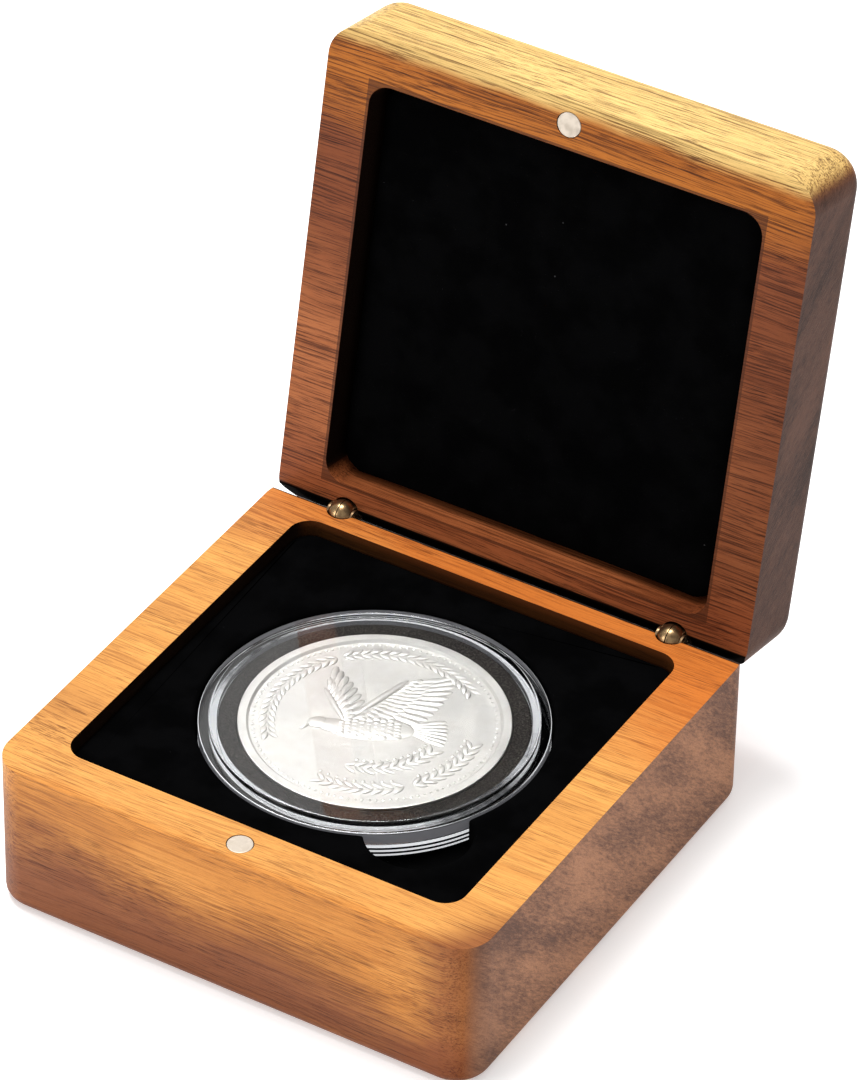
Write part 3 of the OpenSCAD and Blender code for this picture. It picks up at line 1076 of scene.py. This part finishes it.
    def _magnets(self) -> None:
        """The two flush magnet discs."""
        nickel = Metal("satin_nickel", colour=(0.57, 0.5, 0.42), dark=(0.36, 0.31, 0.25), roughness=0.4,
                       patina=0.5, scratch_scale=1.4, bump=0.3)
        for node, body, low_z in (("base_magnet", Body.BASE, self.high.z - self.magnet_t),
                                  ("lid_magnet", Body.LID, self.high.z + SHUT_GAP)):
            sunk = self.magnet_play / 2
            disc = post(f"{node}_disc", self.magnet_r, low_z + sunk, low_z + self.magnet_t - sunk,
                        self._magnet_place(), 64)
            ease_edges(disc, self.magnet_edge)
            if body is Body.LID:
                self.hinge.open_lid(disc)
            put_on(smooth(disc, weighted=True), body, nickel, [node])


# -------------------------------------------------------------------- velvets


@dataclass
class VelvetLinings:
    """The velvet of the base's insert and of the lid's pad."""

    hinge: Hinge
    well_r: float = 26.5 * MM
    notch_r: float = 8 * MM
    notch_angle: float = -45.0
    insert_corner_r: float = 3.4 * MM
    lip: float = 0.75 * MM
    lid_drop: float = 2.8 * MM
    pad_depth: float = 6 * MM
    swell: float = 0.75 * MM
    pad_corner_r: float = 3.2 * MM
    pad_lip: float = 1.4 * MM
    side_play: float = 0.05 * MM
    side_cloth: float = 0.07 * MM
    side_reach: float = 0.35 * MM
    voxel: float = 1.5 * MM
    pressure: float = 4.0
    pressure_steps: int = 15
    pressure_scale: float = 10.0
    velvet_t: float = 0.6 * MM
    lid_foam_t: float = 6.9 * MM
    foam_inset: float = 1.0 * MM
    foam_lip: float = 1.9 * MM

    def build(self) -> None:
        """Makes both linings."""
        velvet = Velvet("black_velvet")
        base = put_on(self._insert(), Body.BASE, velvet, ["base_velvet"])
        lid = put_on(self._lid_pad(), Body.LID, velvet, ["lid_velvet"])
        self._inside()

    def _insert(self) -> Piece:
        """The base's insert: flat velvet that rolls over into the well and the finger notch."""
        low, high = corners("base_velvet")
        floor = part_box("capsule_lower_shell")[0][2]
        insert = block("base_velvet_insert", low, high)
        round_uprights(insert, self.insert_corner_r, 8)
        cut(insert, post("well_tool", self.well_r, floor, high.z + MM, (0, 0), 128))
        place = on_circle(self.well_r, self.notch_angle)
        cut(insert, post("notch_tool", self.notch_r, floor, high.z + MM, place, 64))
        round_where(insert, lambda a, b: min(a.z, b.z) > high.z - NEAR, self.lip, 4)
        return smooth(insert, 50, weighted=True)

    def _lid_face(self) -> float:
        """Height of the lid pad's face with the box shut."""
        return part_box("base_block")[1][2] + SHUT_GAP + self.lid_drop

    def _lid_pad(self) -> Piece:
        """The lid's pad: velvet stretched over foam, crowned between its edges."""
        low, high = corners("base_velvet")
        face = self._lid_face()
        grown = self.side_play
        pad = block("lid_velvet_pad", (low.x - grown, low.y - grown, face + self.swell / 2),
                    (high.x + grown, high.y + grown, face + self.pad_depth))
        round_uprights(pad, self.pad_corner_r, 6)
        round_where(pad, lambda a, b: max(a.z, b.z) < face + self.swell, self.pad_lip, 4)
        self._puff(pad, face)
        return smooth(self.hinge.open_lid(pad), 60)

    def _puff(self, pad: Piece, face: float) -> None:
        """Swells the pad by cloth simulation, held back at its board and at the recess walls.

        Args:
            pad: The pad, shut.
            face: Height that its face may not pass.
        """
        remesh = pad.modifiers.new("remesh", "REMESH")
        remesh.mode = "VOXEL"
        remesh.voxel_size = self.voxel
        apply_modifiers(pad)
        start = [v.co.copy() for v in pad.data.vertices]
        pad.data.transform(Matrix.Scale(self.pressure_scale, 4))
        cloth = pad.modifiers.new("cloth", "CLOTH")
        cloth.settings.use_pressure = True
        cloth.settings.uniform_pressure_force = self.pressure
        cloth.settings.effector_weights.gravity = 0
        scene = bpy.context.scene
        for step in range(1, self.pressure_steps + 1):
            scene.frame_set(step)
        apply_modifiers(pad)
        scene.frame_set(1)
        pad.data.transform(Matrix.Scale(1 / self.pressure_scale, 4))
        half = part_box("base_velvet")[1][0] + self.side_cloth
        for vertex, home in zip(pad.data.vertices, start):
            move = vertex.co - home
            if move.length > self.swell:
                move *= self.swell / move.length
            placed = home + move
            placed.z = max(placed.z, face)
            for axis in (0, 1):
                if abs(placed[axis]) > half - self.side_reach:
                    placed[axis] = math.copysign(half, placed[axis])
            vertex.co = placed
        soften = pad.modifiers.new("soften", "SUBSURF")
        soften.levels = soften.render_levels = 1
        apply_modifiers(pad)

    def _inside(self) -> None:
        """Gives the boards and foams under the velvet their own finishes."""
        low, high = corners("base_velvet")
        start = self._lid_face() + self.foam_inset * 2.5
        end = self._lid_face() + self.velvet_t + self.lid_foam_t
        core = block("lid_foam_core", (low.x + self.foam_inset, low.y + self.foam_inset, start),
                     (high.x - self.foam_inset, high.y - self.foam_inset, end))
        round_uprights(core, self.pad_corner_r, 6)
        round_where(core, lambda a, b: max(a.z, b.z) < start + NEAR, self.foam_lip, 4)
        foam = FineFoam("dark_foam", colour=(0.045, 0.045, 0.05), cell_scale=2.2)
        put_on(smooth(self.hinge.open_lid(core), 40), Body.LID, foam, ["lid_foam"])
        card = FineFoam("backing_card", colour=(0.3, 0.28, 0.25), cell_scale=1.6, depth=0.15)
        for node in ("base_board", "lid_board", "base_lower_foam", "base_upper_foam"):
            finish = card if "board" in node else foam
            data = frame["nodes"][node].data
            data.materials.clear()
            data.materials.append(finish.material())
            log.info("%s keeps its CAD shape", node)


# -------------------------------------------------------------------- capsule


@dataclass
class Capsule:
    """The clear capsule's two shells and its foam ring."""

    radius: float = 26.1 * MM
    thick: float = 6 * MM
    wall: float = 1.4 * MM
    step: float = 0.8 * MM
    ledge: float = 1.55 * MM
    plug_t: float = 1.2 * MM
    plug_depth: float = 1.55 * MM
    play: float = 0.05 * MM
    soft: float = 0.22 * MM
    disc_soft: float = 0.4 * MM
    groove: float = 0.2 * MM
    groove_heights: Pair = (0.75 * MM, 1.5 * MM)
    gasket_soft: float = 0.35 * MM
    steps: int = 160

    def build(self) -> None:
        """Makes the shells and the ring."""
        clear = Acrylic("polished_acrylic")
        lower = put_on(self._lower(), Body.CAPSULE, clear, ["capsule_lower_shell"])
        upper = put_on(self._upper(), Body.COVER, clear, ["capsule_upper_shell"])
        self._paint_edge_light(lower, upper)
        foam = FineFoam("gasket_foam", colour=(0.05, 0.044, 0.04), cell_scale=3.6, depth=0.7)
        put_on(self._gasket(), Body.CAPSULE, foam, ["gasket_ring"])

    @property
    def disc_r(self) -> float:
        """Radius of the raised disc on each face."""
        return self.radius - self.ledge

    @property
    def parting(self) -> float:
        """Height of the parting line over the underside."""
        return self.thick / 2 + 0.2 * MM

    def _paint_edge_light(self, lower: Piece, upper: Piece) -> None:
        """Gives the narrow faces of both dressed shells their painted highlights, glow and shade."""
        foot = self.parting - self.plug_depth
        side = self.radius - NEAR / 10
        # Painted light: highlights and a glow on the narrow faces, and painted shade in the side grooves.
        ring = PaintedAcrylicEdge("plug_ring_foot_painted_glow", low=-0.1, high=0.7, clear=0.2, painted_glow=0.3)
        self._paint_light_on(upper, lambda p: p.z < foot + NEAR / 10 and p.x > self.disc_r - self.plug_t, ring)
        line = PaintedAcrylicEdge("acrylic_edge_painted_highlight", low=-0.15, high=0.6, clear=0.25, painted_glow=0.15)
        self._paint_light_on(upper, lambda p: self.radius - self.soft * 0.55 < p.x and p.z > self.parting + NEAR
                      and p.z > self.thick - self.step - self.soft * 0.6, line)
        lit = {"along": (0.7, -0.7, 0), "low": -0.6, "high": 0.3, "clear": 0.1}
        stripe = PaintedAcrylicEdge("acrylic_side_painted_highlight", painted_glow=0.6, **lit)
        self._paint_light_on(lower, lambda p: p.x > side, stripe)
        groove = PaintedAcrylicEdge("acrylic_groove_painted_shade", painted_light=(0.02, 0.02, 0.024), painted_shade=(0.01, 0.01, 0.012),
                             clear=0.0)
        self._paint_light_on(lower, lambda p: self.radius - 0.25 * MM < p.x < side
                      and p.z > self.step + 0.3 * MM, groove)
        haze = PaintedAcrylicEdge("acrylic_side_painted_haze", painted_light=(0.24, 0.24, 0.26), painted_glow=0.25, **lit)
        self._paint_light_on(upper, lambda p: p.x > side and p.z > self.parting + 2 * NEAR, haze)

    def _paint_light_on(self, piece: Piece, test: Callable[[Vector], bool], finish: Finish) -> None:
        """Gives some of a shell's faces a finish with painted light or shade.

        Args:
            piece: The dressed shell.
            test: Says whether a face with that middle, as radius, 0 and height, is meant.
            finish: The finish for those faces.
        """
        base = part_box("capsule_lower_shell")[0][2]
        piece.data.materials.append(finish.material())
        slot = len(piece.data.materials) - 1
        for face in piece.data.polygons:
            middle = Vector((face.center.xy.length, 0, face.center.z - base))
            if test(middle):
                face.material_index = slot

    def _raise(self, piece: Piece) -> Piece:
        """Lifts a piece from the capsule's own zero to its place."""
        piece.data.transform(Matrix.Translation((0, 0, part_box("capsule_lower_shell")[0][2])))
        return piece

    def _lower(self) -> Piece:
        """The lower shell, with two fine grooves round its side."""
        r, d, s, g = self.radius, self.disc_r, self.soft, self.groove
        outline = [(0, 0), *arc((d - s, s), s, -90, 0, 4), (d, self.step),
                   *arc((r - s, self.step + s), s, -90, 0, 4)]
        for z in (self.step + height for height in self.groove_heights):
            outline += [(r, z - g), (r - 0.7 * g, z - 0.7 * g), (r - g, z), (r - 0.7 * g, z + 0.7 * g),
                        (r, z + g)]
        top = self.parting - self.play
        outline += [*arc((r - s / 2, top - s / 2), s / 2, 0, 90, 3), (d + self.play, top),
                    (d + self.play, self.wall), (0, self.wall)]
        return smooth(self._raise(turned("capsule_lower_clear", outline, self.steps)), 30)

    def _upper(self) -> Piece:
        """The upper shell, with the plug ring that enters the lower one."""
        r, d, s, e = self.radius, self.disc_r, self.soft, self.disc_soft
        top = self.thick - self.step
        plug_r = d - self.play
        foot = self.parting - self.plug_depth
        outline = [(0, self.thick), *arc((d - e, self.thick - e), e, 90, 0, 6), (d, top),
                   *arc((r - s, top - s), s, 90, 0, 4), (r, self.parting), (plug_r, self.parting),
                   (plug_r, foot), (plug_r - self.plug_t, foot),
                   (plug_r - self.plug_t, self.thick - self.wall), (0, self.thick - self.wall)]
        return smooth(self._raise(turned("capsule_upper_clear", outline, self.steps)), 30)

    def _gasket(self) -> Piece:
        """The foam ring round the coin, with soft edges."""
        low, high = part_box("gasket_ring")
        coin_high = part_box("coin")[1]
        inner, outer = coin_high[0] + self.play, high[0]
        r = self.gasket_soft
        outline = [(inner, low[2]), (outer, low[2]), *arc((outer - r, high[2] - r), r, 0, 90, 4),
                   *arc((inner + r, high[2] - r), r, 90, 180, 4), (inner, low[2])]
        return smooth(turned("gasket_foam_ring", outline, self.steps), 50)


# ----------------------------------------------------------------------- coin


@dataclass
class Coin:
    """The struck coin: reeded edge, raised rim, and a relief of a bird inside laurel and beads."""

    rim: float = 1.3 * MM
    sink: float = 0.38 * MM
    boldness: float = 1.25
    reeds: int = 150
    reed_depth: float = 0.12 * MM
    soft: float = 0.14 * MM
    crown: float = 0.02 * MM
    turn: float = 50.0
    beads: int = 110
    bead_ring: float = 18.05
    relief: list[Piece] = field(default_factory=list)

    def build(self) -> None:
        """Makes the coin."""
        silver = Metal("struck_silver", colour=(0.97, 0.955, 0.925), dark=(0.74, 0.7, 0.64),
                       roughness=0.46, patina=0.3, scratch_scale=0.5, bump=0.12, hollows=0.85)
        coin = join([self._blank(), self._relief()], "coin_struck")
        put_on(smooth(coin, 32), Body.CAPSULE, silver, ["coin"])

    def _blank(self) -> Piece:
        """The blank with its rims and reeded edge."""
        low, high = corners("coin")
        r, t, s = high.x, high.z - low.z, self.soft
        field_r = r - self.rim
        outline = [(0, self.sink), (field_r - self.sink, self.sink), (field_r, self.crown),
                   *arc((r - s, s), s, -90, 0, 3), *arc((r - s, t - s), s, 0, 90, 3),
                   (field_r, t - self.crown), (field_r - self.sink, t - self.sink), (0, t - self.sink)]
        blank = turned("coin_blank", outline, self.reeds * 2)
        with editing(blank) as mesh:
            for vertex in mesh.verts:
                step = round(math.atan2(vertex.co.y, vertex.co.x) / TURN * self.reeds * 2)
                if step % 2 and vertex.co.xy.length > r - NEAR / 10:
                    vertex.co.xy *= (r - self.reed_depth) / r
        blank.data.transform(Matrix.Translation((0, 0, low.z)))
        return blank

    def _pattern(self, name: str, width_at: Callable[[float], float], segments: int = 8,
                 rings: int = 7) -> Piece:
        """A dome of unit half-length along X, shaped by its width along the way.

        Args:
            name: The pattern's name.
            width_at: Half width at a place from -1 to 1.
            segments: Facets round the sphere that it starts from.
            rings: Facets along it.

        Returns:
            The pattern, which is copied and thrown away.
        """
        clear_selection()
        bpy.ops.mesh.primitive_uv_sphere_add(segments=segments, ring_count=rings, radius=1,
                                             rotation=(0, math.pi / 2, 0))
        pattern = bpy.context.object
        pattern.name = name
        bpy.ops.object.transform_apply(location=True, rotation=True, scale=True)
        with editing(pattern) as mesh:
            bpy.ops.mesh.select_all(action="SELECT")
            bpy.ops.mesh.bisect(plane_co=(0, 0, 0), plane_no=(0, 0, 1), clear_inner=True, use_fill=True)
            for vertex in mesh.verts:
                full = math.sqrt(max(1e-6, 1 - vertex.co.x ** 2))
                vertex.co.y *= width_at(vertex.co.x) / full
        return pattern

    def _stamp(self, pattern: Piece, at: Pair, angle: float, length: float,
               width: float, height: float) -> None:
        """Copies a pattern onto the field.

        Args:
            pattern: The pattern.
            at: Middle of the copy, in millimetres on the coin.
            angle: Direction of its length, in degrees.
            length: Its length in millimetres.
            width: Its width in millimetres.
            height: Its height in millimetres.
        """
        copy = pattern.copy()
        copy.data = pattern.data.copy()
        bpy.context.scene.collection.objects.link(copy)
        place = Matrix.Translation((at[0] * MM, at[1] * MM, 0))
        size = Matrix.Diagonal((length / 2 * MM, width / 2 * MM, height * self.boldness * MM, 1))
        hollow = copy.data.attributes.new("hollow", "FLOAT", "POINT")
        hollow.data.foreach_set("value", [1.0 if v.co.z < 0.05 else 0.0 for v in copy.data.vertices])
        copy.data.transform(place @ Matrix.Rotation(math.radians(angle), 4, "Z") @ size)
        self.relief.append(copy)

    def _fan(self, pattern: Piece, start: Pair, end: Pair,
             angles: Pair, lengths: Pair, count: int, width: float,
             height: float) -> None:
        """A row of feathers rooted along a line.

        Args:
            pattern: The feather.
            start: Root of the first one, in millimetres.
            end: Root of the last one.
            angles: Direction of the first and the last, in degrees.
            lengths: Length of the first and the last.
            count: How many.
            width: Width of each.
            height: Height of the last; earlier ones lie a little lower.
        """
        for i in range(count):
            t = i / (count - 1)
            angle = angles[0] + (angles[1] - angles[0]) * t
            length = lengths[0] + (lengths[1] - lengths[0]) * math.sin(t * math.pi / 2)
            x = start[0] + (end[0] - start[0]) * t + math.cos(math.radians(angle)) * length / 2
            y = start[1] + (end[1] - start[1]) * t + math.sin(math.radians(angle)) * length / 2
            self._stamp(pattern, (x, y), angle, length, width, height * (0.82 + 0.18 * t))

    def _relief(self) -> Piece:
        """The whole relief, turned and set on the field."""
        def feathered(x: float) -> float:
            """Half width of a feather: narrow at its root, blunt at its tip."""
            return min(0.35 + 0.5 * (x + 1), 1) * (1 - max(x, 0) ** 4) ** 0.5

        def rounded(x: float) -> float:
            """Half width of a round form."""
            return math.sqrt(max(0, 1 - x * x))

        leaf = self._pattern("leaf", lambda x: (1 - x * x) ** 0.9)
        feather = self._pattern("feather", feathered)
        bead = self._pattern("bead", rounded, 8, 4)
        round_form = self._pattern("round_form", rounded, 20, 12)
        self._bird(feather, round_form, bead)
        self._laurel(leaf, bead)
        for i in range(self.beads):
            self._stamp(bead, on_circle(self.bead_ring, 360 * i / self.beads), 0, 0.5, 0.5, 0.15)
        for pattern in (leaf, feather, bead, round_form):
            bpy.data.objects.remove(pattern, do_unlink=True)
        whole = join(self.relief, "coin_relief")
        field_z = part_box("coin")[1][2] - self.sink
        lift = Matrix.Translation((0, 0, field_z - NEAR / 10))
        whole.data.transform(lift @ Matrix.Rotation(math.radians(self.turn), 4, "Z"))
        return whole

    def _bird(self, feather: Piece, round_form: Piece,
              bead: Piece) -> None:
        """A bird in flight with both wings spread: feathers, body, head, beak, eye, arms, scales."""
        for start, end, angles, lengths, count, width, height in (
                ((-4.2, 1.4), (-3.6, 9.6), (10, 62), (4.2, 5.2), 9, 1.25, 0.16),
                ((-4.4, 1.8), (-4.0, 9.2), (18, 66), (2.3, 3.0), 9, 1.1, 0.2),
                ((4.2, -4.4), (4.6, -2.6), (-48, -8), (5.6, 5.6), 7, 1.2, 0.15),
                ((-0.6, 0.4), (8.6, 5.8), (-62, 4), (6.2, 7.2), 13, 1.3, 0.17),
                ((-1.0, 1.4), (8.2, 6.4), (-56, 0), (3.6, 4.4), 13, 1.15, 0.21),
                ((-1.6, 2.0), (7.6, 6.8), (-50, 2), (1.9, 2.4), 13, 1.0, 0.25)):
            self._fan(feather, start, end, angles, lengths, count, width, height)
        for pattern, at, angle, length, width, height in (
                (round_form, (-1.0, -1.6), 158, 13.0, 5.0, 0.25),
                (round_form, (-5.9, 1.0), 150, 5.2, 3.3, 0.26),
                (round_form, (-8.0, 2.5), 165, 3.3, 2.6, 0.27),
                (feather, (-10.1, 2.3), 196, 1.9, 0.8, 0.22),
                (bead, (-8.5, 2.9), 0, 0.42, 0.42, 0.3),
                (round_form, (3.0, 5.1), 27, 11.0, 1.2, 0.27),
                (round_form, (-4.4, 5.6), 92, 8.6, 1.0, 0.25)):
            self._stamp(pattern, at, angle, length, width, height)
        for row in range(9):
            for place in range(-2, 3):
                along = -4.6 + row * 1.05
                across = place * 0.95 * (1 - (along / 7.5) ** 2) + (row % 2) * 0.35
                angle = math.radians(-22)
                x = -1.0 + along * math.cos(angle) - across * math.sin(angle)
                y = -1.6 + along * math.sin(angle) + across * math.cos(angle)
                self._stamp(feather, (x, y), -22 + place * 6, 1.5, 0.95, 0.285)

    def _laurel(self, leaf: Piece, bead: Piece) -> None:
        """Two laurel branches over the bird and a sprig with berries under it."""
        for side in (-1, 1):
            for i in range(17):
                angle = 90 + side * (5 + i * 4.9)
                self._sprig(leaf, angle, 15.9, 90 * side, 2.1, side * 30)
            for i in range(9):
                angle = 270 + side * (6 + i * 5.6)
                self._sprig(leaf, angle, 15.4, -90 * side, 2.3, side * 34)
                self._berry(bead, angle + side * 2.6, 13.9)
        for i in range(-5, 6):
            self._sprig(leaf, 268 + i * 7, 10.6 + 0.3 * (i % 2), -90 if i < 0 else 90, 2.4, 36)
            self._berry(bead, 270 + i * 7, 9.2)

    def _sprig(self, leaf: Piece, angle: float, radius: float, way: float, length: float,
               spread: float) -> None:
        """A pair of leaves on a branch that follows a circle."""
        for side in (-1, 1):
            at = on_circle(radius + side * 0.62, angle)
            self._stamp(leaf, at, angle + way + side * -spread, length, 0.92, 0.2)

    def _berry(self, bead: Piece, angle: float, radius: float) -> None:
        """A berry beside a branch."""
        self._stamp(bead, on_circle(radius, angle), 0, 0.55, 0.55, 0.17)


# ---------------------------------------------------------------------- stage


@dataclass
class Studio:
    """The pale floor, the soft lights and the camera."""

    azimuth: float = 30.26
    elevation: float = 37.67
    roll: float = 1.137
    camera_at: Sequence[float] = (0.3823, -0.6402, 0.6325)
    focal: float = 217.8
    sensor: float = 36
    floor_size: float = 6
    floor_drop: float = 0.02 * MM
    floor_glow: float = 0.35
    sky: float = 0.6
    light_size: float = 0.5
    light_aim: Sequence[float] = (0, 0.01, 0.04)

    def build(self) -> None:
        """Sets up camera, floor and lights."""
        self._camera()
        self._floor()
        self._lights()

    def _camera(self) -> None:
        """The camera, at the reference view."""
        data = bpy.data.cameras.new("camera")
        data.sensor_width = self.sensor
        data.lens = self.focal
        camera = bpy.data.objects.new("camera", data)
        bpy.context.scene.collection.objects.link(camera)
        turn = (Matrix.Rotation(math.radians(self.azimuth), 4, "Z")
                @ Matrix.Rotation(math.radians(90 - self.elevation), 4, "X")
                @ Matrix.Rotation(math.radians(self.roll), 4, "Z"))
        camera.matrix_world = Matrix.Translation(self.camera_at) @ turn
        bpy.context.scene.camera = camera

    def _floor(self) -> None:
        """A wide pale floor."""
        clear_selection()
        bpy.ops.mesh.primitive_plane_add(size=self.floor_size, location=(0, 0, -self.floor_drop))
        floor = bpy.context.object
        floor.name = "floor"
        pale = bpy.data.materials.new("pale_floor")
        pale.use_nodes = True
        Finish.set_constants(pale.node_tree.nodes["Principled BSDF"], {
            "Base Color": (0.93, 0.93, 0.93, 1), "Emission Color": (1, 1, 1, 1),
            "Emission Strength": self.floor_glow, "Roughness": 0.8})
        floor.data.materials.append(pale)

    def _lights(self) -> None:
        """An even sky and two softboxes."""
        scene = bpy.context.scene
        scene.view_settings.view_transform = "Standard"
        world = bpy.data.worlds.new("sky")
        world.use_nodes = True
        world.node_tree.nodes["Background"].inputs[0].default_value = (1, 1, 1, 1)
        world.node_tree.nodes["Background"].inputs[1].default_value = self.sky
        scene.world = world
        for name, place, power in (("key", (-0.22, 0.12, 0.95), 10.5), ("fill", (-0.7, -0.9, 0.45), 3.6)):
            data = bpy.data.lights.new(name, "AREA")
            data.shape = "SQUARE"
            data.size = self.light_size
            data.energy = power
            light = bpy.data.objects.new(name, data)
            scene.collection.objects.link(light)
            light.location = place
            aim = Vector(self.light_aim) - Vector(place)
            light.rotation_euler = aim.to_track_quat("-Z", "Y").to_euler()


def main() -> None:
    """Builds the classes in order."""
    logging.basicConfig(level=logging.INFO, format="%(name)s: %(message)s")
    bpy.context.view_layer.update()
    Studio().build()
    hinge = Hinge()
    for assembly in (WoodenBox(hinge), VelvetLinings(hinge), hinge, Capsule(), Coin()):
        log.info("building %s", type(assembly).__name__)
        assembly.build()


if __name__ == "__main__":
    main()
